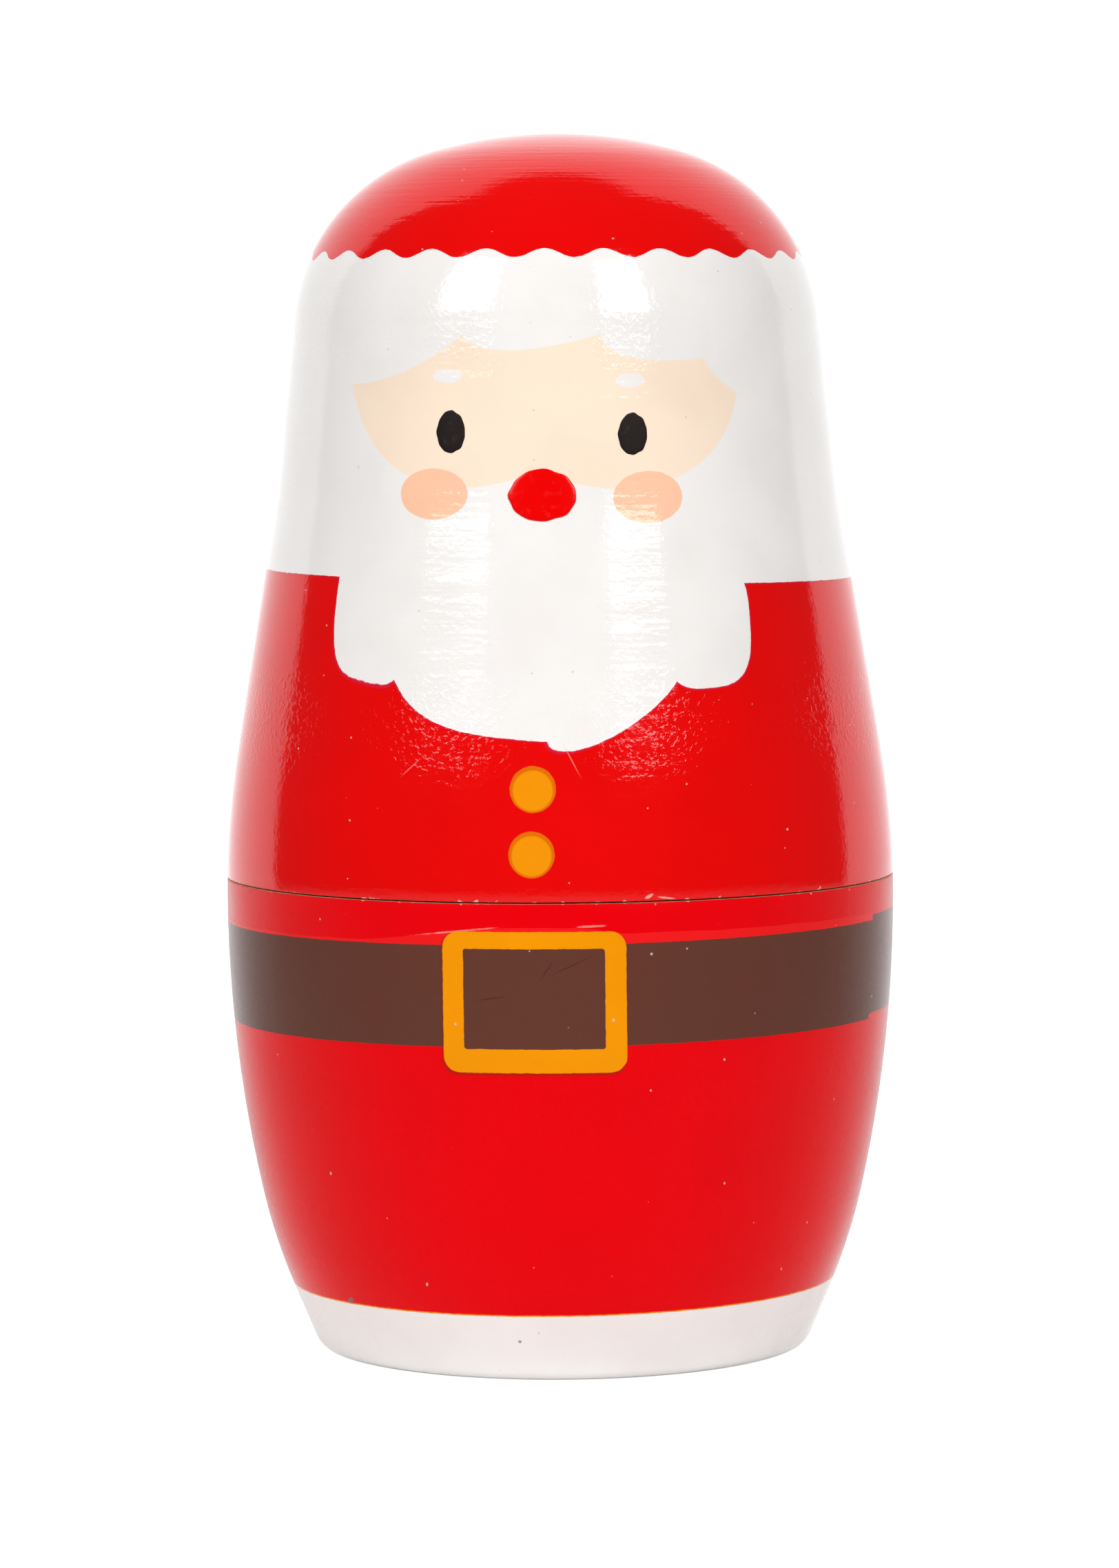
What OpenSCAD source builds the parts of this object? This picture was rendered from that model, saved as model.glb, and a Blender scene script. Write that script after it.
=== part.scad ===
// Turned wooden nesting doll: five dolls of one outline, each but the smallest
// made of a lower and an upper half that plug together over a spigot.
// All lengths are millimetres, all angles degrees. Every doll stands on +Z.

/* [Largest doll] */
// Height of the largest doll
doll_h = 115; // [108:0.5:124]
// Diameter at the belly, the widest place
belly_d = 63.4; // [61:0.2:68]
// Height of the belly, as a share of the doll's height
belly_share = 0.374; // [0.35:0.002:0.39]
// Diameter at which the side would meet the base without its rounded edge
base_d = 46.6; // [44:0.2:49]
// Radius of the rounded edge round the base
base_edge = 1.4; // [0.8:0.1:2.2]
// Lean of the straight foot, against the mean lean of the side below the belly
foot_flare = 2.05; // [2.02:0.01:2.2]
// Radius of the curve from the foot into the hips, against one arc from base to belly
foot_share = 0.47; // [0.4:0.01:0.6]
// Radius of the long curve from the hips to the belly, against the same arc
hip_share = 1.13; // [1.08:0.01:1.2]
// Radius of the curve above the belly
body_curve = 85; // [75:1:95]
// Lean of the side above that curve
body_taper = 9.4; // [8.4:0.1:10.6]
// Height where the body's side turns into the head's side, as a share of the doll's height
neck_share = 0.71; // [0.67:0.005:0.74]
// Radius of the hollow curve at the neck
neck_curve = 80; // [40:1:110]
// Lean of the head's side
head_taper = 5.7; // [4:0.1:7]
// Radius of the curve over the temples
shoulder_curve = 18.3; // [16:0.1:20]
// Slope at which the temples pass into the flatter crown
crown_slope = 74; // [68:1:77]

/* [Wood] */
// Thickness of the turned walls, as a share of the belly's diameter
wall_share = 0.0726; // [0.066:0.0002:0.08]
// Thickness of each lower half's floor
floor_t = 6; // [4:0.5:8]
// Radial room round a doll in the mouth of the next larger one
nest_gap = 0.8; // [0.5:0.1:1.2]

/* [Plug joint] */
// Height of the largest doll's seam above its belly
seam_rise = 1.8; // [0.8:0.1:4]
// Open line that shows at a closed seam
seam_gap = 0.15; // [0.1:0.05:0.3]
// Height of the largest doll's spigot
spigot_h = 9; // [6:0.5:11]
// Share of the wall's thickness that stays round the socket, at the belly
socket_share = 0.48; // [0.4:0.01:0.52]
// Radial clearance of the spigot in the upper half
fit_gap = 0.1; // [0.05:0.01:0.2]
// Room above the spigot's end
end_gap = 0.4; // [0.2:0.1:0.8]
// Bevel on the seam's edges and on the spigot's lead-in
edge_bevel = 0.3; // [0.2:0.05:0.5]

/* [Hidden] */
$fn = 96;
cut_over = 1;
// Depth by which one curve dips under the next where they hand over, and the
// length and turn for which they run on under each other
tuck = 0.004;
run_on = 2.5;
turn_on = 3.5;

belly_r = belly_d / 2;
base_r = base_d / 2;
belly_z = belly_share * doll_h;
neck_z = neck_share * doll_h;
wall = wall_share * belly_d;
socket_wall = socket_share * wall;

// One single arc from the base to the upright belly would lean at the base twice as far as
// the side does in the mean. The foot and the hips follow that arc, whatever the sizes are.
side_lean = atan((belly_r - base_r) / belly_z);
side_arc = belly_z / sin(2 * side_lean);
foot_lean = foot_flare * side_lean;
foot_curve = foot_share * side_arc;
hip_curve = hip_share * side_arc;

// Each smaller doll takes the room that the walls of the larger one leave
function size_of(doll) = 1 - (doll - 1) * (wall + nest_gap) / belly_r;
function stands_at(doll) = (doll - 1) * floor_t;
function mouth_r(doll) = belly_r * size_of(doll) - wall;
function socket_r(doll) = belly_r * size_of(doll) - socket_wall;
function spigot_r(doll) = socket_r(doll) - fit_gap;
function seam_at(doll) = (belly_z + seam_rise) * size_of(doll);
function spigot_top(doll) = seam_at(doll) + spigot_h * size_of(doll);

// The outline of the largest doll, from the base to the crown, as tangent arcs and
// straight leans. A slope is the angle of the outward normal above the horizontal.
function normal(slope) = [cos(slope), sin(slope)];
function along(slope) = [-sin(slope), cos(slope)];

hip_c = [belly_r - hip_curve, belly_z];
body_c = [belly_r - body_curve, belly_z];

// The foot's curve touches the hips' curve from inside and the foot's straight lean
base_corner = [base_r, 0];
foot_offset = (base_corner - hip_c) * normal(-foot_lean) - foot_curve;
foot_slope = acos(foot_offset / (hip_curve - foot_curve)) - foot_lean;
foot_c = hip_c + (hip_curve - foot_curve) * normal(foot_slope);
base_edge_c = [base_r - base_edge * (1 - sin(foot_lean)) / cos(foot_lean), base_edge];

flank_start = body_c + body_curve * normal(body_taper);
neck_corner = [flank_start.x - (neck_z - flank_start.y) * tan(body_taper), neck_z];
neck_reach = neck_curve * tan((body_taper - head_taper) / 2);
neck_c = neck_corner - neck_reach * along(body_taper) + neck_curve * normal(body_taper);

// The head's straight side is as long as the height of the doll asks
crown_gain = (1 - sin(crown_slope)) / cos(crown_slope);
shoulder_turn = shoulder_curve * (normal(crown_slope) - normal(head_taper));
head_base = neck_corner + shoulder_turn;
head_side = (doll_h - head_base.y - crown_gain * head_base.x)
    / (along(head_taper).y + crown_gain * along(head_taper).x);
shoulder_c = neck_corner + head_side * along(head_taper) - shoulder_curve * normal(head_taper);
crown_curve = (shoulder_c.x + shoulder_curve * cos(crown_slope)) / cos(crown_slope);
crown_c = [0, doll_h - crown_curve];

// The half outline at the right of the axis, drawn in by inset all over. Where two
// curves meet, the one that runs on lies under the other one by tuck.
module outline(inset) {
    line = inset + tuck;
    edge_z = base_edge * (1 - sin(foot_lean));
    foot_z = inset == 0 ? edge_z : 0;
    foot_low = [base_r - line / cos(foot_lean) + foot_z * tan(foot_lean), foot_z];
    foot_high = foot_c + (foot_curve - line) * normal(-foot_lean);
    hip_z = foot_c.y + (foot_curve - inset) * sin(foot_slope);
    flank = body_c + (body_curve - line) * normal(body_taper);
    neck_low = neck_c - (neck_curve + line) * normal(body_taper);
    neck_high = neck_c - (neck_curve + line) * normal(head_taper);
    corner = neck_low + (neck_curve + line) * tan((body_taper - head_taper) / 2) * along(body_taper);
    temple = shoulder_c + (shoulder_curve - line) * normal(head_taper);
    crown_z = shoulder_c.y + (shoulder_curve - inset) * sin(crown_slope);
    crown_end = shoulder_c.y + (shoulder_curve - inset) * sin(crown_slope + turn_on);

    if (inset == 0) base_rim(edge_z + base_edge / 4);
    polygon([[0, foot_z], foot_low, foot_high, [0, foot_high.y]]);
    band(foot_high.y - run_on, hip_z + run_on) translate(foot_c) circle(r = foot_curve - inset);
    band(hip_z, belly_z) translate(hip_c) circle(r = hip_curve - line);
    band(belly_z - 2 * run_on, flank.y + run_on) translate(body_c) circle(r = body_curve - inset);
    polygon([[0, flank.y], flank, corner, temple, [0, temple.y]]);
    difference() {
        translate([0, neck_low.y]) square([belly_d, neck_high.y - neck_low.y]);
        translate(neck_c) circle(r = neck_curve + line + tuck);
    }
    band(temple.y - run_on / 2, crown_end) {
        translate(shoulder_c) circle(r = shoulder_curve - inset);
        square([shoulder_c.x, crown_end]);
    }
    band(crown_z, doll_h + cut_over) translate(crown_c) circle(r = crown_curve - line);
}

// The rounded edge round the base, with the wood inside it
module base_rim(high) {
    band(0, high) {
        translate(base_edge_c) circle(r = base_edge + tuck);
        square([base_edge_c.x, high]);
    }
}

// What lies right of the axis between two heights
module band(low, high) {
    intersection() {
        children();
        translate([0, low]) square([belly_d, high - low]);
    }
}

// The outline of one doll at its own size
module doll_outline(doll, inset = 0) {
    size = size_of(doll);
    scale(size) outline(inset / size);
}

// What a bevel takes off a corner at the given radius and height
module bevel_cut(r, z, up) {
    polygon([
        [r - edge_bevel - cut_over, z + up * cut_over],
        [r + cut_over, z + up * cut_over],
        [r + cut_over, z - up * (edge_bevel + cut_over)]
    ]);
}

// Radius of a doll's outside at a height above its belly, below the straight lean
function side_r(doll, z) =
    let(size = size_of(doll), rise = z / size - belly_z)
    size * (body_c.x + sqrt(body_curve * body_curve - rise * rise));

module lower_half(doll) {
    seam = seam_at(doll);
    top = spigot_top(doll);
    belly = belly_z * size_of(doll);
    translate([0, 0, stands_at(doll)]) rotate_extrude() difference() {
        union() {
            difference() {
                band(0, seam) doll_outline(doll);
                bevel_cut(side_r(doll, seam), seam, 1);
            }
            translate([0, belly]) square([spigot_r(doll), top - belly]);
        }
        bevel_cut(spigot_r(doll), top, 1);
        band(floor_t, belly + run_on) doll_outline(doll, wall);
        translate([0, belly]) square([mouth_r(doll) - tuck, top + cut_over - belly]);
    }
}

module upper_half(doll) {
    rim = seam_at(doll) + seam_gap;
    stop = spigot_top(doll) + end_gap;
    height = doll_h * size_of(doll);
    translate([0, 0, stands_at(doll)]) rotate_extrude() difference() {
        band(rim, height + cut_over) doll_outline(doll);
        bevel_cut(side_r(doll, rim), rim, -1);
        translate([0, rim - cut_over]) square([socket_r(doll), stop + cut_over - rim]);
        polygon([
            [0, rim - cut_over], [socket_r(doll) + edge_bevel + cut_over, rim - cut_over],
            [socket_r(doll), rim + edge_bevel], [0, rim + edge_bevel]
        ]);
        band(rim, height) doll_outline(doll, wall);
    }
}

module doll_1_lower_half() { color("#e60012") lower_half(1); }
module doll_1_upper_half() { color("#ea0000") upper_half(1); }
module doll_2_lower_half() { color("#1e7a3c") lower_half(2); }
module doll_2_upper_half() { color("#1e7a3c") upper_half(2); }
module doll_3_lower_half() { color("#2f6fae") lower_half(3); }
module doll_3_upper_half() { color("#2f6fae") upper_half(3); }
module doll_4_lower_half() { color("#f2a71b") lower_half(4); }
module doll_4_upper_half() { color("#f2a71b") upper_half(4); }

module doll_5_solid() {
    color("#e60012") translate([0, 0, stands_at(5)]) rotate_extrude() doll_outline(5);
}

doll_1_lower_half();
doll_1_upper_half();
doll_2_lower_half();
doll_2_upper_half();
doll_3_lower_half();
doll_3_upper_half();
doll_4_lower_half();
doll_4_upper_half();
doll_5_solid();
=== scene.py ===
import math

import bpy
from mathutils import Matrix, Vector


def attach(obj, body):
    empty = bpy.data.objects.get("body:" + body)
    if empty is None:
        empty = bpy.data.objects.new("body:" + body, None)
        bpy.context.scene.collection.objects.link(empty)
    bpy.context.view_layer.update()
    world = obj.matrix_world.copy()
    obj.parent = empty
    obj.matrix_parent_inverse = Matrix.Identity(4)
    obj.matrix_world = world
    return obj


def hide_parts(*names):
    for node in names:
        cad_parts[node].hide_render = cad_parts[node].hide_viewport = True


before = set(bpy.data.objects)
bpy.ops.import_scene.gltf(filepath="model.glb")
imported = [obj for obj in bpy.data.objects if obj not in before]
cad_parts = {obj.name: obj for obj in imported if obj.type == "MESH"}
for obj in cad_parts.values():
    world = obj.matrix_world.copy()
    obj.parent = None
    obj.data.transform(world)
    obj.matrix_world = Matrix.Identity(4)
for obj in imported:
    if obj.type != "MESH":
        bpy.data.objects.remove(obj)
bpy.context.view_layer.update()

MM = 0.001

# Outline of the largest doll, in millimetres and degrees
DOLL_H = 115.0
BELLY_R = 31.7
BELLY_Z = 0.374 * DOLL_H
BASE_R = 23.3
BASE_EDGE = 1.4
SIDE_LEAN = math.degrees(math.atan((BELLY_R - BASE_R) / BELLY_Z))
SIDE_ARC = BELLY_Z / math.sin(math.radians(2 * SIDE_LEAN))
FOOT_LEAN = 2.05 * SIDE_LEAN
FOOT_CURVE = 0.47 * SIDE_ARC
HIP_CURVE = 1.13 * SIDE_ARC
BODY_CURVE = 85.0
BODY_TAPER = 9.4
NECK_Z = 0.71 * DOLL_H
NECK_CURVE = 80.0
HEAD_TAPER = 5.7
SHOULDER_CURVE = 18.3
CROWN_SLOPE = 74.0

# Walls, the plug joint and the nest
DOLL_COUNT = 5
WALL = 0.0726 * 2 * BELLY_R
FLOOR = 6.0
NEST_GAP = 0.8
SEAM_Z = BELLY_Z + 1.8
SEAM_GAP = 0.15
SPIGOT_H = 9.0
SOCKET_WALL = 0.48 * WALL
FIT_GAP = 0.1
END_GAP = 0.4
EASED_EDGE = 0.3
SEAM_EASE = 0.1


def normal(slope):
    """Direction square to a side that leans in by slope degrees."""
    return Vector((math.cos(math.radians(slope)), math.sin(math.radians(slope))))


def along(slope):
    """Direction up along a side that leans in by slope degrees."""
    return Vector((-math.sin(math.radians(slope)), math.cos(math.radians(slope))))


def arc(centre, radius, start, end, steps):
    """Points round a centre from one direction to another, in degrees."""
    turns = [start + (end - start) * i / steps for i in range(steps + 1)]
    return [centre + radius * normal(turn) for turn in turns]


# Centres of the outline's curves
HIP_C = Vector((BELLY_R - HIP_CURVE, BELLY_Z))
BODY_C = Vector((BELLY_R - BODY_CURVE, BELLY_Z))
FOOT_OFFSET = (Vector((BASE_R, 0)) - HIP_C).dot(normal(-FOOT_LEAN)) - FOOT_CURVE
FOOT_SLOPE = math.degrees(math.acos(FOOT_OFFSET / (HIP_CURVE - FOOT_CURVE))) - FOOT_LEAN
FOOT_C = HIP_C + (HIP_CURVE - FOOT_CURVE) * normal(FOOT_SLOPE)
EDGE_SHARE = (1 - math.sin(math.radians(FOOT_LEAN))) / math.cos(math.radians(FOOT_LEAN))
BASE_EDGE_C = Vector((BASE_R - BASE_EDGE * EDGE_SHARE, BASE_EDGE))
FLANK = BODY_C + BODY_CURVE * normal(BODY_TAPER)
NECK = Vector((FLANK.x - (NECK_Z - FLANK.y) * math.tan(math.radians(BODY_TAPER)), NECK_Z))
NECK_REACH = NECK_CURVE * math.tan(math.radians((BODY_TAPER - HEAD_TAPER) / 2))
NECK_C = NECK - NECK_REACH * along(BODY_TAPER) + NECK_CURVE * normal(BODY_TAPER)
CROWN_GAIN = (1 - math.sin(math.radians(CROWN_SLOPE))) / math.cos(math.radians(CROWN_SLOPE))
HEAD_BASE = NECK + SHOULDER_CURVE * (normal(CROWN_SLOPE) - normal(HEAD_TAPER))
HEAD_SIDE = (DOLL_H - HEAD_BASE.y - CROWN_GAIN * HEAD_BASE.x) / (
    along(HEAD_TAPER).y + CROWN_GAIN * along(HEAD_TAPER).x
)
SHOULDER_C = NECK + HEAD_SIDE * along(HEAD_TAPER) - SHOULDER_CURVE * normal(HEAD_TAPER)
CROWN_CURVE = SHOULDER_C.x / math.cos(math.radians(CROWN_SLOPE)) + SHOULDER_CURVE
CROWN_C = Vector((0, DOLL_H - CROWN_CURVE))


def outline(inset=0.0):
    """The doll's side from base to crown as (radius, height), drawn in by inset all over."""
    if inset:
        path = [Vector((BASE_R - inset / math.cos(math.radians(FOOT_LEAN)), 0))]
    else:
        path = arc(BASE_EDGE_C, BASE_EDGE, -90, -FOOT_LEAN, 6)
    path += arc(FOOT_C, FOOT_CURVE - inset, -FOOT_LEAN, FOOT_SLOPE, 5)
    path += arc(HIP_C, HIP_CURVE - inset, FOOT_SLOPE, 0, 12)[1:]
    path += arc(BODY_C, BODY_CURVE - inset, 0, BODY_TAPER, 7)[1:]
    path += arc(NECK_C, -NECK_CURVE - inset, BODY_TAPER, HEAD_TAPER, 4)
    path += arc(SHOULDER_C, SHOULDER_CURVE - inset, HEAD_TAPER, CROWN_SLOPE, 22)
    path += arc(CROWN_C, CROWN_CURVE - inset, CROWN_SLOPE, 90, 9)[1:]
    path[-1].x = 0
    return path


def radius_at(path, height):
    """Radius of a rising path at a height."""
    for low, high in zip(path, path[1:]):
        if low.y <= height <= high.y and high.y > low.y:
            return low.x + (high.x - low.x) * (height - low.y) / (high.y - low.y)
    return 0.0


def between(path, low, high):
    """The part of a rising path between two heights, with its ends on them."""
    inner = [point for point in path if low < point.y < high]
    return [Vector((radius_at(path, low), low)), *inner, Vector((radius_at(path, high), high))]


class Doll:
    """The sizes of one doll of the nest, counted from the largest, in its own height."""

    def __init__(self, number):
        self.number = number
        self.size = 1 - (number - 1) * (WALL + NEST_GAP) / BELLY_R
        self.stand = (number - 1) * FLOOR
        self.outside = [point * self.size for point in outline()]
        self.cavity = [point * self.size for point in outline(WALL / self.size)]
        self.belly_r = BELLY_R * self.size
        self.seam = SEAM_Z * self.size
        self.rim = self.seam + SEAM_GAP
        self.spigot_top = self.seam + SPIGOT_H * self.size
        self.mouth_r = self.belly_r - WALL
        self.socket_r = self.belly_r - SOCKET_WALL
        self.spigot_r = self.socket_r - FIT_GAP

    def lower_profile(self):
        ease = EASED_EDGE
        side = between(self.outside, 0, self.seam - SEAM_EASE)[1:]
        corner = Vector((side[-1].x - SEAM_EASE, self.seam - SEAM_EASE))
        spigot = Vector((self.spigot_r - ease, self.spigot_top - ease))
        mouth = Vector((self.mouth_r + ease, self.spigot_top - ease))
        hollow = between(self.cavity, FLOOR, BELLY_Z * self.size)
        return [
            Vector((0, 0)),
            self.outside[0],
            *side[:-1],
            *arc(corner, SEAM_EASE, 0, 90, 3),
            Vector((self.spigot_r, self.seam)),
            *arc(spigot, ease, 0, 90, 3),
            *arc(mouth, ease, 90, 180, 3),
            *reversed(hollow),
            Vector((0, FLOOR)),
        ]

    def upper_profile(self):
        ease = EASED_EDGE
        stop = self.spigot_top + END_GAP
        hollow = between(self.cavity, stop, self.cavity[-1].y)
        side = between(self.outside, self.rim + SEAM_EASE, self.outside[-1].y)
        inner_edge = Vector((self.socket_r + ease, self.rim + ease))
        outer_edge = Vector((side[0].x - SEAM_EASE, self.rim + SEAM_EASE))
        return [
            *reversed(hollow),
            Vector((self.socket_r, stop)),
            *arc(inner_edge, ease, 180, 270, 3),
            *arc(outer_edge, SEAM_EASE, -90, 0, 3),
            *side[1:],
        ]

    def whole_profile(self):
        return [Vector((0, 0)), *self.outside]

    def on_surface(self, across, height, lift=0.0):
        """The point in the model at a way round and a height on the largest doll's scale."""
        path = outline()
        radius = radius_at(path, height)
        step = 0.2
        rise = math.atan2(radius_at(path, height - step) - radius_at(path, height + step), 2 * step)
        turn = across / radius
        reach = radius + lift * math.cos(rise)
        rim = Vector((reach * math.sin(turn), -reach * math.cos(turn), height))
        spot = rim + Vector((0, 0, lift * math.sin(rise)))
        return (spot * self.size + Vector((0, 0, self.stand))) * MM


DOLLS = [Doll(number) for number in range(1, DOLL_COUNT + 1)]

# Turning the wood: steps of a turn, and the sharpest edge that is shaded smooth
HALF_STEPS = 192
SOLID_STEPS = 128
SMOOTH_EDGE = math.radians(35)


def turned(name, profile, stand, steps):
    """Draws a profile beside the turning axis, point by point, and spins it round."""
    bpy.ops.object.select_all(action="DESELECT")
    bpy.ops.mesh.primitive_plane_add(size=MM, location=(0, 0, 0))
    piece = bpy.context.object
    piece.name = piece.data.name = name
    drawn = [Vector((point.x, 0, point.y + stand)) * MM for point in profile]
    bpy.ops.object.mode_set(mode="EDIT")
    bpy.ops.mesh.merge(type="CENTER")
    bpy.ops.transform.translate(value=drawn[0])
    for here, there in zip(drawn, drawn[1:]):
        bpy.ops.mesh.extrude_region_move(TRANSFORM_OT_translate={"value": there - here})
    bpy.ops.mesh.select_all(action="SELECT")
    bpy.ops.mesh.spin(steps=steps, angle=math.tau, center=(0, 0, 0), axis=(0, 0, 1))
    bpy.ops.mesh.select_all(action="SELECT")
    bpy.ops.mesh.remove_doubles(threshold=0.001 * MM)
    bpy.ops.mesh.normals_make_consistent(inside=False)
    bpy.ops.object.mode_set(mode="OBJECT")
    bpy.ops.object.shade_smooth_by_angle(angle=SMOOTH_EDGE)
    return piece


def dress(piece, doll, paint, wood):
    """Paint on the outside of a turned piece, bare wood on its spigot, socket and hollow."""
    piece.data.materials.append(paint)
    piece.data.materials.append(wood)
    for face in piece.data.polygons:
        spot = face.center / MM
        height = spot.z - doll.stand
        radius = math.hypot(spot.x, spot.y)
        skin = radius > radius_at(doll.outside, height) - 2 * SEAM_EASE
        face.material_index = 0 if skin or height < 0.01 else 1


# Writing materials as formulas

class Flow:
    """A number that runs through the nodes of one material."""

    def __init__(self, sheet, socket):
        self.sheet = sheet
        self.socket = socket

    def math(self, operation, *others):
        return self.sheet.math(operation, self, *others)

    def __add__(self, other):
        return self.math("ADD", other)

    def __sub__(self, other):
        return self.math("SUBTRACT", other)

    def __rsub__(self, other):
        return self.sheet.math("SUBTRACT", other, self)

    def __mul__(self, other):
        return self.math("MULTIPLY", other)

    def __truediv__(self, other):
        return self.math("DIVIDE", other)

    def __abs__(self):
        return self.math("ABSOLUTE")

    def power(self, exponent):
        return self.math("POWER", exponent)

    def sine(self):
        return self.math("SINE")

    def both(self, other):
        """Of two signed distances, the shape that lies in both."""
        return self.math("MAXIMUM", other)

    def either(self, other):
        """Of two signed distances, the shape that lies in either."""
        return self.math("MINIMUM", other)


class Nodes:
    """The nodes of a material or of the room, with numbers worked out as formulas."""

    def __init__(self, tree):
        self.tree = tree

    def node(self, kind, **settings):
        node = self.tree.nodes.new("ShaderNode" + kind)
        for name, value in settings.items():
            setattr(node, name, value)
        return node

    def link(self, source, target):
        self.tree.links.new(source, target)

    def feed(self, target, value):
        if isinstance(value, Flow):
            self.link(value.socket, target)
        elif isinstance(value, bpy.types.NodeSocket):
            self.link(value, target)
        else:
            target.default_value = value

    def math(self, operation, *values):
        node = self.node("Math", operation=operation)
        for target, value in zip(node.inputs, values):
            self.feed(target, value)
        return Flow(self, node.outputs[0])

    def parts(self, vector):
        """The three numbers of a vector or colour."""
        split = self.node("SeparateXYZ")
        self.link(vector, split.inputs[0])
        return [Flow(self, socket) for socket in split.outputs]

    def vector(self, *parts):
        node = self.node("CombineXYZ")
        for target, part in zip(node.inputs, parts):
            self.feed(target, part)
        return node.outputs[0]

    def ramp(self, value, low, high, smooth=True):
        """0 where the value is at low, 1 where it is at high."""
        node = self.node("MapRange", interpolation_type="SMOOTHSTEP" if smooth else "LINEAR")
        self.feed(node.inputs[0], value)
        node.inputs[1].default_value = low
        node.inputs[2].default_value = high
        return Flow(self, node.outputs[0])

    def seen_white(self):
        """1 for what the camera sees straight or through something clear."""
        rays = self.node("LightPath").outputs
        straight = Flow(self, rays["Is Camera Ray"])
        return straight.math("MAXIMUM", Flow(self, rays["Is Transmission Ray"]))


class Sheet(Nodes):
    """The node sheet of one material, with the doll's own measures on it."""

    def __init__(self, name, doll):
        self.material = bpy.data.materials.new(name)
        self.material.use_nodes = True
        super().__init__(self.material.node_tree)
        self.shader = self.tree.nodes["Principled BSDF"]
        place = self.node("Mapping")
        place.inputs["Scale"].default_value = [1 / (MM * doll.size)] * 3
        place.inputs["Location"].default_value = (0, 0, -doll.stand / doll.size)
        self.link(self.node("TexCoord").outputs["Object"], place.inputs["Vector"])
        self.place = place.outputs["Vector"]
        self.x, self.y, self.z = self.parts(self.place)
        self.turn = self.x.math("ARCTAN2", self.y * -1)
        self.radius = (self.x * self.x + self.y * self.y).math("SQRT")
        self.across = self.turn * self.radius
        along_profile = self.z - self.radius
        self.rolled_out = self.vector(self.across, along_profile)
        self.profile = self.vector(self.x, self.y, along_profile)
        self.handled = doll.number == 1

    def inside(self, distance, soft=0.07):
        """1 inside a shape, 0 outside, with an edge as soft as a print's."""
        return self.ramp(distance, soft / 2, -soft / 2)

    def ragged(self):
        """How far the edges of the print wander, in millimetres."""
        return (self.noise(1.6, 3) - 0.5) * 0.12

    def mix(self, share, below, above):
        """One colour painted over another, by a share from 0 to 1."""
        node = self.node("Mix", data_type="RGBA")
        self.feed(node.inputs[0], share)
        self.feed(node.inputs[6], below)
        self.feed(node.inputs[7], above)
        return node.outputs[2]

    def stretched(self, scale, place=None):
        node = self.node("Mapping")
        node.inputs["Scale"].default_value = scale
        self.link(place or self.place, node.inputs["Vector"])
        return node.outputs["Vector"]

    def noise(self, scale, detail=2.0, place=None):
        node = self.node("TexNoise")
        node.inputs["Scale"].default_value = scale
        node.inputs["Detail"].default_value = detail
        self.link(place or self.place, node.inputs["Vector"])
        return Flow(self, node.outputs[0])

    def specks(self, spacing, size, share):
        """Specks on the surface, up to a size, in only a share of the cells: 1 on a speck."""
        node = self.node("TexVoronoi", voronoi_dimensions="2D")
        node.inputs["Scale"].default_value = 1 / spacing
        self.link(self.rolled_out, node.inputs["Vector"])
        chance = self.parts(node.outputs["Color"])[0]
        reach = self.ramp(chance, 1 - share, 1, False) * size - 0.06
        return self.ramp(Flow(self, node.outputs["Distance"]) * spacing - reach, 0.04, -0.04)

    def bump(self, height, depth):
        """Height from 0 to 1 pressed into the surface, depth in millimetres."""
        node = self.node("Bump")
        node.inputs["Distance"].default_value = depth * MM
        self.feed(node.inputs["Height"], height)
        self.link(node.outputs["Normal"], self.shader.inputs["Normal"])


def shade(red, green, blue):
    """A colour as read off the painted wood, 0 to 255, as the linear colour of a node."""
    def linear(value):
        value /= 255
        return value / 12.92 if value <= 0.04045 else ((value + 0.055) / 1.055) ** 2.4
    return (linear(red), linear(green), linear(blue), 1.0)


WHITE = shade(241, 238, 235)
SKIN = shade(251, 229, 206)
CHEEK = shade(252, 198, 164)
NOSE_RED = shade(232, 0, 0)
EYE_BLACK = shade(20, 6, 4)
HAT_RED = shade(229, 0, 0)
COAT_RED = shade(228, 0, 0)
LOWER_RED = shade(228, 0, 10)
# Painted sheen: the lighter red of the satin film's rim above the belt
FILM_SHEEN_RED = shade(236, 26, 28)
FRINGE = shade(190, 36, 84)
BUTTON = shade(240, 146, 2)
BUTTON_RING = shade(222, 108, 0)
BELT = shade(96, 56, 45)
BUCKLE = shade(237, 147, 2)
BUCKLE_SHADE = shade(120, 30, 10)
# Painted shade: dark brown for the shade in the belt's creases
CREASE_SHADE_BROWN = shade(50, 24, 18)
BARE_GREY = shade(122, 108, 104)
# Pale pink of chipped paint, also used for the painted highlights along coat creases and the film's
# edge
CHIP_AND_GLINT_PINK = shade(240, 170, 158)
AGED_RED = shade(120, 0, 0)
DUST = shade(214, 196, 188)
LIME_WOOD = shade(228, 203, 166)
LIME_GRAIN = shade(208, 175, 133)
LIME_PORE = shade(160, 118, 76)


# The printed figure as lobes: centre across and up, half sizes, turn in degrees, squareness
HAIR_LOBES = [
    (-19.4, 111.86, 20.28, 20.28, 0, 2),
    (6.16, 100.4, 13.53, 4.16, 18.4, 2),
    (14.18, 96.64, 8.25, 3.04, 3.7, 2.23),
    (24.93, 91.16, 9.1, 2.52, -18.6, 2),
]
FACE_LOBES = [
    (3.6, 110.1, 31.3, 18.63, 55.8, 2),
    (3.25, 96.9, 18.14, 13.33, -32.6, 2),
]
FOREHEAD_Z = 96.1
BEARD_LOBES = [
    (-14.59, 76.65, 5.02, 12.27, -10.7, 3.65),
    (-0.87, 71.46, 13.33, 11.9, -5.4, 2.92),
    (7.68, 63.12, 7.44, 2.69, 32.9, 2),
    (16.44, 69.44, 4.64, 5.56, 3.2, 3.06),
]
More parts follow.
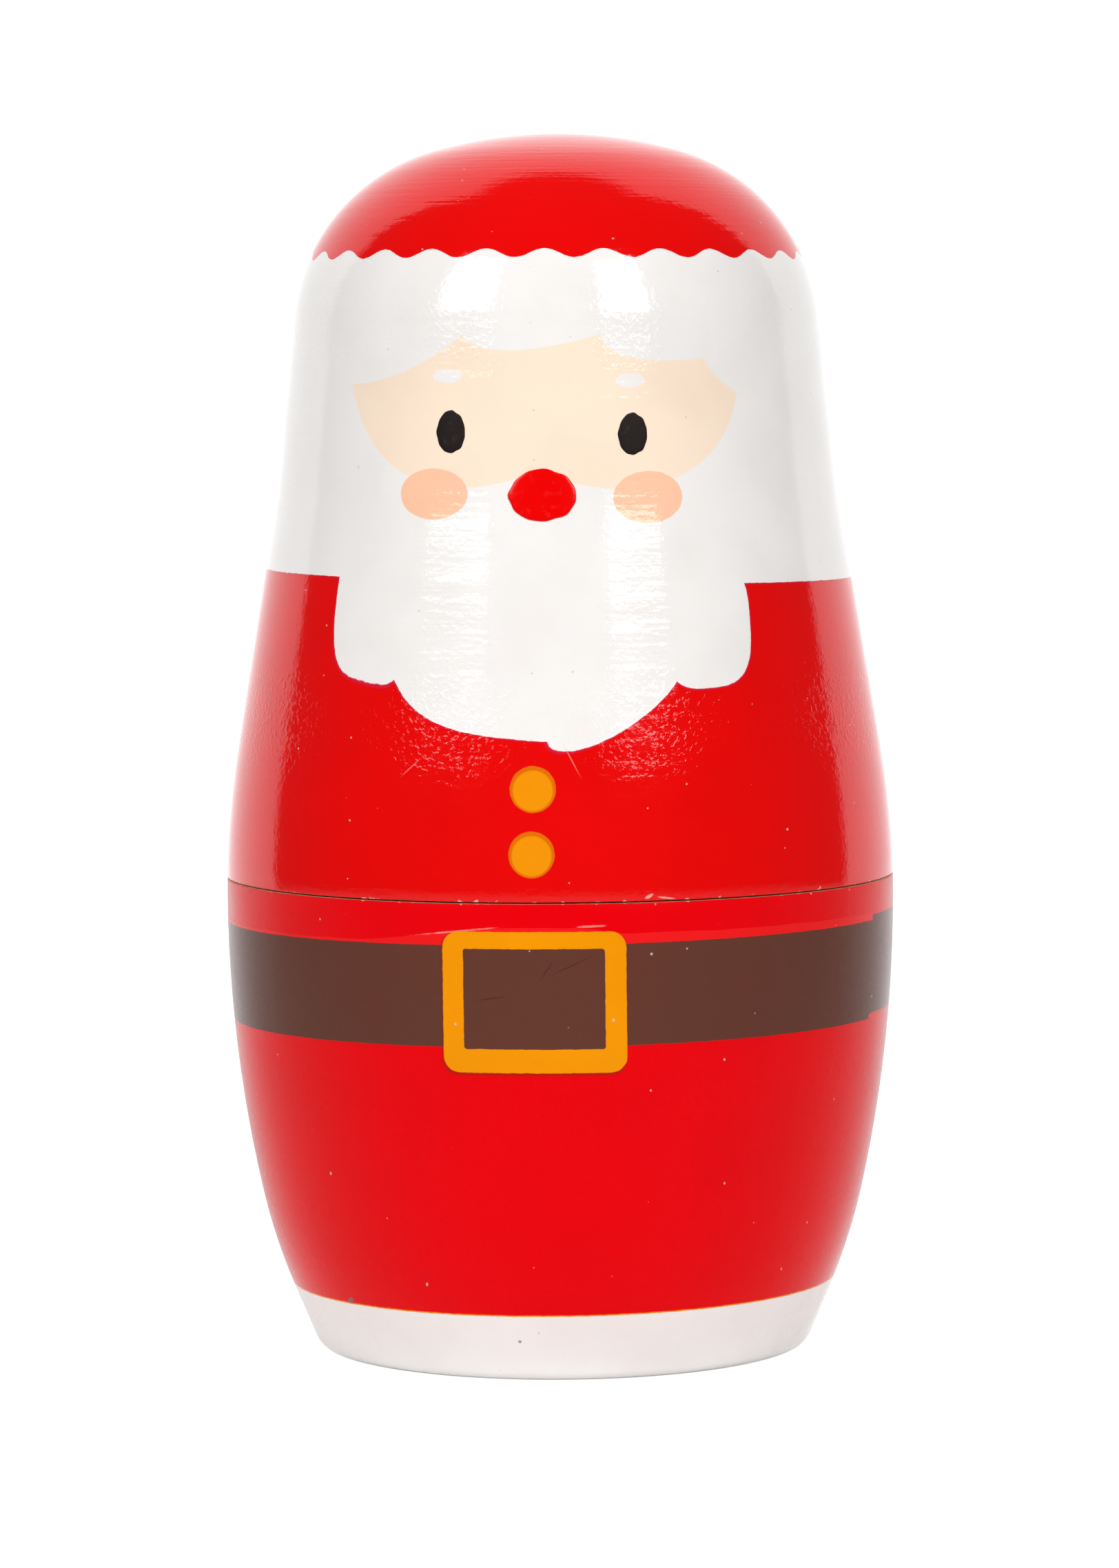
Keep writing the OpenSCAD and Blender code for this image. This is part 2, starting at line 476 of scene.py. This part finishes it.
BROWS = [(-8.17, 92.28, 1.41, 0.63, 0, 2), (8.78, 91.78, 1.37, 0.66, 0, 2)]
CHEEKS = [(-9.56, 81.62, 3.4, 2.31, 0, 2), (10.5, 81.21, 3.32, 2.37, 0, 2)]

# Raised dabs of paint: centre across and up, half width, half height
EYES = [(-7.82, 87.23, 1.39, 1.93), (9.0, 86.93, 1.37, 1.9)]
EYE_LIFT = 0.06
NOSE = (0.74, 81.47, 3.07, 2.36)
NOSE_LIFT = 0.2
HAND_WOBBLE = 0.012
DAB_EDGE = 0.35

# Marks of the largest doll, as lobes: chips of worn paint, painted highlights along coat creases
# and the film's edge, and painted shade in the belt's creases
SEAM_CHIPS = [(10.6, 45.38, 0.4, 0.15, 25, 2), (12.1, 45.2, 0.7, 0.08, -8, 2)]
COAT_CREASE_HIGHLIGHTS = [(3.4, 57.9, 1.45, 0.05, -62, 2), (-11.5, 57.0, 1.0, 0.05, 40, 2)]
BELT_CREASE_SHADES = [
    (-3.8, 36.25, 1.2, 0.06, 8, 2),
    (1.2, 38.8, 1.0, 0.05, 55, 2),
    (3.4, 39.2, 1.7, 0.05, 24, 2),
]
FILM_GLINTS = [(-6.8, 42.33, 3.4, 0.07, 6, 2), (5.3, 42.78, 1.1, 0.1, 2, 2)]
BASE_CHIPS = [(-20.4, 6.6, 0.42, 0.28, 20, 2), (-2.1, 3.9, 0.16, 0.14, 0, 2)]

# Buttons, edges and bands of the print: heights, and how much they tilt across the doll
BUTTONS = [(0.0, 55.12), (-0.11, 49.26)]
BUTTON_R = 2.09
BUTTON_RIM = 0.28
BUTTON_DROP = 0.12
SCALLOPS = 27
TRIM_Z = 103.4
TRIM_WAVE = 0.4
TRIM_START = 0.6
TRIM_TILT = -0.006
COLLAR_Z = 73.62
COLLAR_TILT = -0.021
FRINGE_OUT = 0.07
FRINGE_HALF = 0.06
FILM_Z = 41.2
FILM_RISE = 1.45
BELT_Z = 36.45
BELT_HALF = 4.65
BELT_TILT = 0.008
BELT_STEP = 0.5
OVERLAP_TURN = math.radians(71.3)
OVERLAP_FADE = math.radians(200)
BASE_BAND_Z = 6.38
BASE_BAND_TILT = 0.006
BASE_LINE = 0.12

# The buckle's boxes: centre across and up, half width, half height, corner radius
BUCKLE_FRAME = (0, 35.86, 8.43, 6.44, 1.5)
BUCKLE_WINDOW = (0, 36.17, 6.48, 4.58, 0.27)
BUCKLE_SHADOW = (-0.1, 35.66, 8.5, 6.5, 1.5)


def lobe(sheet, across, height, half_width, half_height, turn, square):
    """Signed distance from a turned ellipse, or a squarer shape where square is above 2."""
    away = sheet.across - across
    up = sheet.z - height
    c = math.cos(math.radians(turn))
    s = math.sin(math.radians(turn))
    wide = abs(away * c + up * s) / half_width
    tall = abs(up * c - away * s) / half_height
    reach = (wide.power(square) + tall.power(square)).power(1 / square)
    return (reach - 1) * min(half_width, half_height)


def any_of(sheet, lobes):
    """Signed distance from a shape made of several lobes."""
    shape = lobe(sheet, *lobes[0])
    for values in lobes[1:]:
        shape = shape.either(lobe(sheet, *values))
    return shape


def box(sheet, across, height, half_width, half_height, corner):
    """Signed distance from an upright box with rounded corners."""
    wide = abs(sheet.across - across) - (half_width - corner)
    tall = abs(sheet.z - height) - (half_height - corner)
    out_wide = wide.math("MAXIMUM", 0.0)
    out_tall = tall.math("MAXIMUM", 0.0)
    beyond = (out_wide * out_wide + out_tall * out_tall).math("SQRT")
    return beyond + wide.both(tall).math("MINIMUM", 0.0) - corner


def chipped(sheet, from_edge):
    """Small chips along an edge where the paint has frayed, by the distance from that edge."""
    frayed = sheet.noise(1.3, 4, sheet.rolled_out) * 2.6 - 1.6
    return sheet.inside(from_edge - frayed, 0.1)


def upper_print(sheet, coat, hat):
    """Hat, hair, face, beard, collar and buttons."""
    z = sheet.z
    ragged = sheet.ragged()
    wave = (sheet.turn * SCALLOPS + TRIM_START).sine()
    trim = z - (wave * TRIM_WAVE + TRIM_Z + sheet.x * TRIM_TILT)
    collar = (sheet.x * COLLAR_TILT + COLLAR_Z) - z
    beard = any_of(sheet, BEARD_LOBES)
    face = any_of(sheet, FACE_LOBES).both(z - FOREHEAD_Z).both(any_of(sheet, HAIR_LOBES) * -1)
    white = collar.either(beard) + ragged
    colour = sheet.mix(sheet.inside(white), coat, WHITE)
    colour = sheet.mix(sheet.inside(trim + ragged), hat, colour)
    colour = sheet.mix(sheet.inside(face + ragged * 0.5), colour, SKIN)
    colour = sheet.mix(sheet.inside(any_of(sheet, BROWS) + ragged), colour, WHITE)
    colour = sheet.mix(sheet.inside(any_of(sheet, CHEEKS) + ragged), colour, CHEEK)
    for across, height in BUTTONS:
        ring = lobe(sheet, across, height, BUTTON_R, BUTTON_R, 0, 2)
        disc_r = BUTTON_R - BUTTON_RIM
        disc = lobe(sheet, across, height - BUTTON_DROP, disc_r, disc_r, 0, 2)
        colour = sheet.mix(sheet.inside(ring + ragged), colour, BUTTON_RING)
        colour = sheet.mix(sheet.inside(disc, 0.2), colour, BUTTON)
    if sheet.handled:
        fringe = abs(white - FRINGE_OUT) - FRINGE_HALF
        colour = sheet.mix(sheet.inside(fringe) * 0.45, colour, FRINGE)
        # Painted highlights: lighter lines along fine creases of the coat
        colour = sheet.mix(sheet.inside(any_of(sheet, COAT_CREASE_HIGHLIGHTS)) * 0.4, colour, CHIP_AND_GLINT_PINK)
        colour = sheet.mix(sheet.inside(any_of(sheet, SEAM_CHIPS) + ragged) * 0.8, colour, CHIP_AND_GLINT_PINK)
    return sheet.mix(chipped(sheet, z - SEAM_Z - SEAM_GAP), colour, CHIP_AND_GLINT_PINK)


def film_edge(sheet):
    """Height of the upper edge of the printed film, which rises over the buckle."""
    rise = sheet.ramp(sheet.across, -18, -3) - sheet.ramp(sheet.across, 4, 9) * 0.4
    front = sheet.ramp(sheet.turn, 2.4, 1.0)
    wander = sheet.noise(0.16, 2, sheet.rolled_out) - 0.5
    return rise * front * FILM_RISE + wander * 0.3 + FILM_Z


def lower_print(sheet, coat, belted):
    """Coat, belt, buckle and the white band round the base."""
    z = sheet.z
    ragged = sheet.ragged()
    colour = coat
    if sheet.handled:
        # Painted sheen: the satin film's rim above the belt is painted a lighter red
        film_sheen_rim = (z - film_edge(sheet)).both(BELT_Z - z)
        colour = sheet.mix(sheet.inside(film_sheen_rim), colour, FILM_SHEEN_RED)
        # Painted highlights along the film's upper edge
        colour = sheet.mix(sheet.inside(any_of(sheet, FILM_GLINTS) + ragged) * 0.5, colour, CHIP_AND_GLINT_PINK)
    if belted:
        from_overlap = (sheet.turn - OVERLAP_TURN).math("FLOORED_MODULO", math.tau)
        drift = sheet.ramp(from_overlap, OVERLAP_FADE, 0, False)
        belt = abs(z - (drift * BELT_STEP + BELT_Z + sheet.x * BELT_TILT)) - BELT_HALF
        outer = box(sheet, *BUCKLE_FRAME)
        window = box(sheet, *BUCKLE_WINDOW)
        shadow = box(sheet, *BUCKLE_SHADOW)
        colour = sheet.mix(sheet.inside(belt + ragged), colour, BELT)
        colour = sheet.mix(sheet.inside(shadow, 0.5) * 0.55, colour, BUCKLE_SHADE)
        colour = sheet.mix(sheet.inside(outer + ragged), colour, BUCKLE)
        colour = sheet.mix(sheet.inside(window + ragged), colour, BELT)
    colour = sheet.mix(chipped(sheet, SEAM_Z - z), colour, CHIP_AND_GLINT_PINK)
    base = z - (sheet.x * BASE_BAND_TILT + BASE_BAND_Z)
    colour = sheet.mix(sheet.inside(base - BASE_LINE + ragged), colour, BUCKLE)
    colour = sheet.mix(sheet.inside(base + ragged), colour, WHITE)
    if sheet.handled:
        # Painted shade in the belt's creases
        creases = sheet.inside(any_of(sheet, BELT_CREASE_SHADES))
        chips = sheet.inside(any_of(sheet, BASE_CHIPS) + ragged)
        colour = sheet.mix(creases * 0.5, colour, CREASE_SHADE_BROWN)
        colour = sheet.mix(chips * 0.8, colour, BARE_GREY)
    return colour


def film_creases(sheet):
    """Relief of the printed film on the lower half: its upper edge and its fine creases."""
    film = sheet.inside(sheet.z - film_edge(sheet), 0.25)
    line = sheet.inside(abs(sheet.noise(0.35, 4, sheet.rolled_out) - 0.5), 0.024)
    patch = sheet.ramp(sheet.noise(0.1, 2, sheet.rolled_out), 0.5, 0.6)
    return film * 0.8 + line * patch * 0.7


def pitted_lacquer(sheet):
    """Relief of the breast and the brow, where the lacquer has dried with fine pits."""
    pits = sheet.ramp(sheet.noise(2.0, 3), 0.5, 0.68)
    breast = sheet.ramp(sheet.z, 67, 62) * sheet.ramp(sheet.z, 54, 60)
    brow = sheet.ramp(sheet.z, 102, 98) * sheet.ramp(sheet.z, 92, 95)
    return pits * (breast * 0.24 + brow * 0.1)


def lacquer(sheet, colour, roughness, ripple, relief=0.0):
    """Paint under clear lacquer: ripple in millimetres, lathe lines, orange peel and dust."""
    tone = sheet.noise(0.12, 3)
    colour = sheet.mix(sheet.ramp(tone, 0.35, 0.75) * 0.05, colour, AGED_RED)
    colour = sheet.mix(sheet.specks(spacing=3.6, size=0.18, share=0.3) * 0.75, colour, DUST)
    sheet.feed(sheet.shader.inputs["Base Color"], colour)
    sheet.feed(sheet.shader.inputs["Roughness"], sheet.noise(0.4, 4) * 0.1 + roughness)
    grooves = sheet.noise(1.0, 2, sheet.stretched((0.08, 0.08, 0.5), sheet.profile))
    lathe_lines = sheet.noise(1.0, 1, sheet.stretched((0.1, 0.1, 2.2), sheet.profile))
    peel = sheet.noise(2.0, 2)
    crown = sheet.ramp(sheet.z, 104, 110)
    sheet.bump(grooves * 0.64 + lathe_lines * (crown * 0.25 + 0.12) + peel * 0.24 + relief, ripple)


def upper_paint(name, doll, coat, hat):
    sheet = Sheet(name, doll)
    colour = upper_print(sheet, coat, hat)
    lacquer(sheet, colour, roughness=0.02, ripple=0.055, relief=pitted_lacquer(sheet))
    sheet.shader.inputs["Specular IOR Level"].default_value = 0.33
    return sheet.material


def lower_paint(name, doll, coat, belted):
    sheet = Sheet(name, doll)
    colour = lower_print(sheet, coat, belted)
    lacquer(sheet, colour, roughness=0.22, ripple=0.02, relief=film_creases(sheet))
    sheet.shader.inputs["Specular IOR Level"].default_value = 0.03
    sheet.shader.inputs["Sheen Weight"].default_value = 0.8
    sheet.shader.inputs["Sheen Roughness"].default_value = 0.32
    return sheet.material


def whole_paint(name, doll, coat):
    sheet = Sheet(name, doll)
    above = sheet.inside(SEAM_Z - sheet.z)
    colour = sheet.mix(above, lower_print(sheet, coat, False), upper_print(sheet, coat, coat))
    lacquer(sheet, colour, roughness=0.08, ripple=0.02)
    return sheet.material


def dab_paint(name, doll, colour, roughness):
    sheet = Sheet(name, doll)
    worn = sheet.ramp(sheet.noise(1.5, 4), 0.55, 0.8) * 0.03
    sheet.feed(sheet.shader.inputs["Base Color"], sheet.mix(worn, colour, DUST))
    sheet.feed(sheet.shader.inputs["Roughness"], sheet.noise(2, 3) * 0.15 + roughness)
    sheet.shader.inputs["Specular IOR Level"].default_value = 0.15
    sheet.bump(sheet.noise(1.2, 3), 0.02)
    return sheet.material


def bare_wood(name, doll):
    """Pale lime wood off the lathe: grain along the axis, fine tool rings round it."""
    sheet = Sheet(name, doll)
    grain = sheet.noise(1.0, 5, sheet.stretched((1.1, 1.1, 0.05)))
    pores = sheet.noise(1.0, 3, sheet.stretched((5.0, 5.0, 0.25)))
    colour = sheet.mix(sheet.ramp(grain, 0.35, 0.7), LIME_WOOD, LIME_GRAIN)
    colour = sheet.mix(sheet.ramp(pores, 0.55, 0.75) * 0.25, colour, LIME_PORE)
    sheet.feed(sheet.shader.inputs["Base Color"], colour)
    sheet.feed(sheet.shader.inputs["Roughness"], grain * 0.2 + 0.5)
    rings = ((sheet.z + sheet.radius) * 9 + sheet.noise(0.3, 2) * 3).sine()
    sheet.bump(rings * 0.25 + pores * 0.5 + 0.25, 0.03)
    return sheet.material


def raised_dab(name, doll, across, height, half_width, half_height, lift, material):
    """A thick dab of paint that stands proud of the surface, with a rounded edge."""
    bpy.ops.object.select_all(action="DESELECT")
    bpy.ops.mesh.primitive_uv_sphere_add(segments=48, ring_count=24, radius=1, location=(0, 0, 0))
    dab = bpy.context.object
    dab.name = dab.data.name = name
    for point in dab.data.vertices:
        wide, tall, rise = point.co
        turn = math.atan2(tall, wide)
        hand = 1 + sum(HAND_WOBBLE * math.sin(waves * turn + waves) for waves in (3, 5, 8, 11))
        proud = lift * math.copysign(abs(rise) ** DAB_EDGE, rise)
        spot = (across + half_width * hand * wide, height + half_height * hand * tall)
        point.co = doll.on_surface(*spot, proud)
    bpy.ops.object.shade_smooth()
    dab.data.materials.append(material)
    return dab


# The five dolls
GREEN = shade(38, 122, 62)
BLUE = shade(44, 104, 170)
MUSTARD = shade(238, 166, 30)
COATS = {1: COAT_RED, 2: GREEN, 3: BLUE, 4: MUSTARD, 5: COAT_RED}
HATS = {1: HAT_RED, 2: GREEN, 3: BLUE, 4: MUSTARD}
BODIES = {1: "first", 2: "second", 3: "third", 4: "fourth"}

for doll in DOLLS:
    number = doll.number
    coat = COATS[number]
    wood = bare_wood(f"lime_wood_{number}", doll)
    if number < DOLL_COUNT:
        lower_coat = LOWER_RED if number == 1 else coat
        below = lower_paint(f"coat_paint_{number}", doll, lower_coat, True)
        above = upper_paint(f"figure_paint_{number}", doll, coat, HATS[number])
        halves = [("lower", doll.lower_profile(), below), ("upper", doll.upper_profile(), above)]
        for half, profile, paint in halves:
            piece = turned(f"turned_{number}_{half}", profile, doll.stand, HALF_STEPS)
            dress(piece, doll, paint, wood)
            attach(piece, f"{BODIES[number]}_{half}")
            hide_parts(f"doll_{number}_{half}_half")
            first_slot = "red_satin_paint" if half == "lower" else "red_gloss_paint"
        face_body = f"{BODIES[number]}_upper"
    else:
        piece = turned(f"turned_{number}_solid", doll.whole_profile(), doll.stand, SOLID_STEPS)
        dress(piece, doll, whole_paint(f"small_doll_paint_{number}", doll, coat), wood)
        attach(piece, "smallest")
        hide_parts("doll_5_solid")
        face_body = "smallest"
    red_dab = dab_paint(f"nose_paint_{number}", doll, NOSE_RED, roughness=0.1)
    black_dab = dab_paint(f"eye_paint_{number}", doll, EYE_BLACK, roughness=0.4)
    dabs = [raised_dab(f"nose_{number}", doll, *NOSE, NOSE_LIFT, red_dab)]
    for side, eye in zip(("left", "right"), EYES):
        dabs.append(raised_dab(f"eye_{number}_{side}", doll, *eye, EYE_LIFT, black_dab))
    for dab in dabs:
        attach(dab, face_body)


# Floor, lamps and camera, in metres and degrees
FLOOR_SIDE = 1.2
PAPER_WHITE = (0.88, 0.88, 0.88, 1)
PAPER_GLOW = 0.6
PAPER_EDGE_MM = (320, 110)
LAMP_AIM = 0.08
BACKDROP_LIGHT = 1.15
ROOM_LIGHT = 0.13
CAMERA_TURN = 4.5
CAMERA_REACH = 0.5569
CAMERA_HEIGHT = 0.094
CAMERA_PITCH = 4.174
CAMERA_ROLL = -0.448
CAMERA_VIEW = 15.24


def pale_floor():
    """White paper under the doll that fades out into the white room round it."""
    bpy.ops.object.select_all(action="DESELECT")
    bpy.ops.mesh.primitive_plane_add(size=FLOOR_SIDE, location=(0, 0, 0))
    floor = bpy.context.object
    floor.name = "floor"
    sheet = Sheet("white_paper", DOLLS[0])
    paper = sheet.shader.inputs
    paper["Base Color"].default_value = PAPER_WHITE
    paper["Roughness"].default_value = 1.0
    paper["Specular IOR Level"].default_value = 0.0
    paper["Emission Color"].default_value = (1, 1, 1, 1)
    sheet.feed(paper["Emission Strength"], sheet.seen_white() * PAPER_GLOW)
    sheet.feed(paper["Alpha"], sheet.ramp(sheet.radius, *PAPER_EDGE_MM))
    floor.data.materials.append(sheet.material)


def strip_softbox(name, turn, width, low, high, power):
    """An upright softbox a metre from the doll, between two elevations seen from the neck."""
    lamp = bpy.data.lights.new(name, "AREA")
    lamp.shape = "RECTANGLE"
    lamp.size = width
    top = math.tan(math.radians(high))
    bottom = math.tan(math.radians(low))
    lamp.size_y = top - bottom
    lamp.energy = power
    lamp_object = bpy.data.objects.new(name, lamp)
    bpy.context.scene.collection.objects.link(lamp_object)
    angle = math.radians(turn)
    lamp_object.location = (math.sin(angle), -math.cos(angle), LAMP_AIM + (top + bottom) / 2)
    lamp_object.rotation_euler = (math.radians(90), 0, angle)


def white_studio():
    """A white backdrop behind the doll and a dim room in front of it, white to the camera."""
    world = bpy.data.worlds.new("white_studio")
    bpy.context.scene.world = world
    world.use_nodes = True
    room = Nodes(world.node_tree)
    x, y, z = room.parts(room.node("TexCoord").outputs["Generated"])
    turn = math.radians(CAMERA_TURN)
    away = y * math.cos(turn) - x * math.sin(turn)
    level = (1.0001 - z * z).math("SQRT")
    backdrop = room.ramp(away / level, 0.4, 0.48) * room.ramp(z, 0.955, 0.9)
    mirrored = Flow(room, room.node("LightPath").outputs["Is Glossy Ray"]) * backdrop
    lit = backdrop * BACKDROP_LIGHT + ROOM_LIGHT
    strength = lit.math("MAXIMUM", mirrored).math("MAXIMUM", room.seen_white())
    background = world.node_tree.nodes["Background"].inputs
    background["Color"].default_value = (1, 1, 1, 1)
    room.feed(background["Strength"], strength)


def photo_camera():
    """The photograph's camera: where it stands, and how it is turned, tipped and rolled."""
    turn = math.radians(CAMERA_TURN)
    pitch = math.radians(CAMERA_PITCH)
    roll = math.radians(CAMERA_ROLL)
    ahead = Vector((-math.sin(turn), math.cos(turn), 0))
    level = Vector((math.cos(turn), math.sin(turn), 0))
    forward = ahead * math.cos(pitch) - Vector((0, 0, math.sin(pitch)))
    upright = level.cross(forward)
    right = level * math.cos(roll) + upright * math.sin(roll)
    up = upright * math.cos(roll) - level * math.sin(roll)
    camera = bpy.data.cameras.new("photo_camera")
    camera.sensor_fit = "VERTICAL"
    camera.lens = camera.sensor_height / 2 / math.tan(math.radians(CAMERA_VIEW) / 2)
    camera_object = bpy.data.objects.new("photo_camera", camera)
    bpy.context.scene.collection.objects.link(camera_object)
    place = Vector((CAMERA_REACH * math.sin(turn), -CAMERA_REACH * math.cos(turn), CAMERA_HEIGHT))
    axes = Matrix((right, up, -forward)).transposed().to_4x4()
    camera_object.matrix_world = Matrix.Translation(place) @ axes
    bpy.context.scene.camera = camera_object


pale_floor()
strip_softbox("left_softbox", turn=-36, width=0.446, low=15.2, high=45, power=8.5)
strip_softbox("right_softbox", turn=35.3, width=0.377, low=15.0, high=45, power=9.6)
white_studio()
photo_camera()
bpy.context.scene.view_settings.view_transform = "Standard"
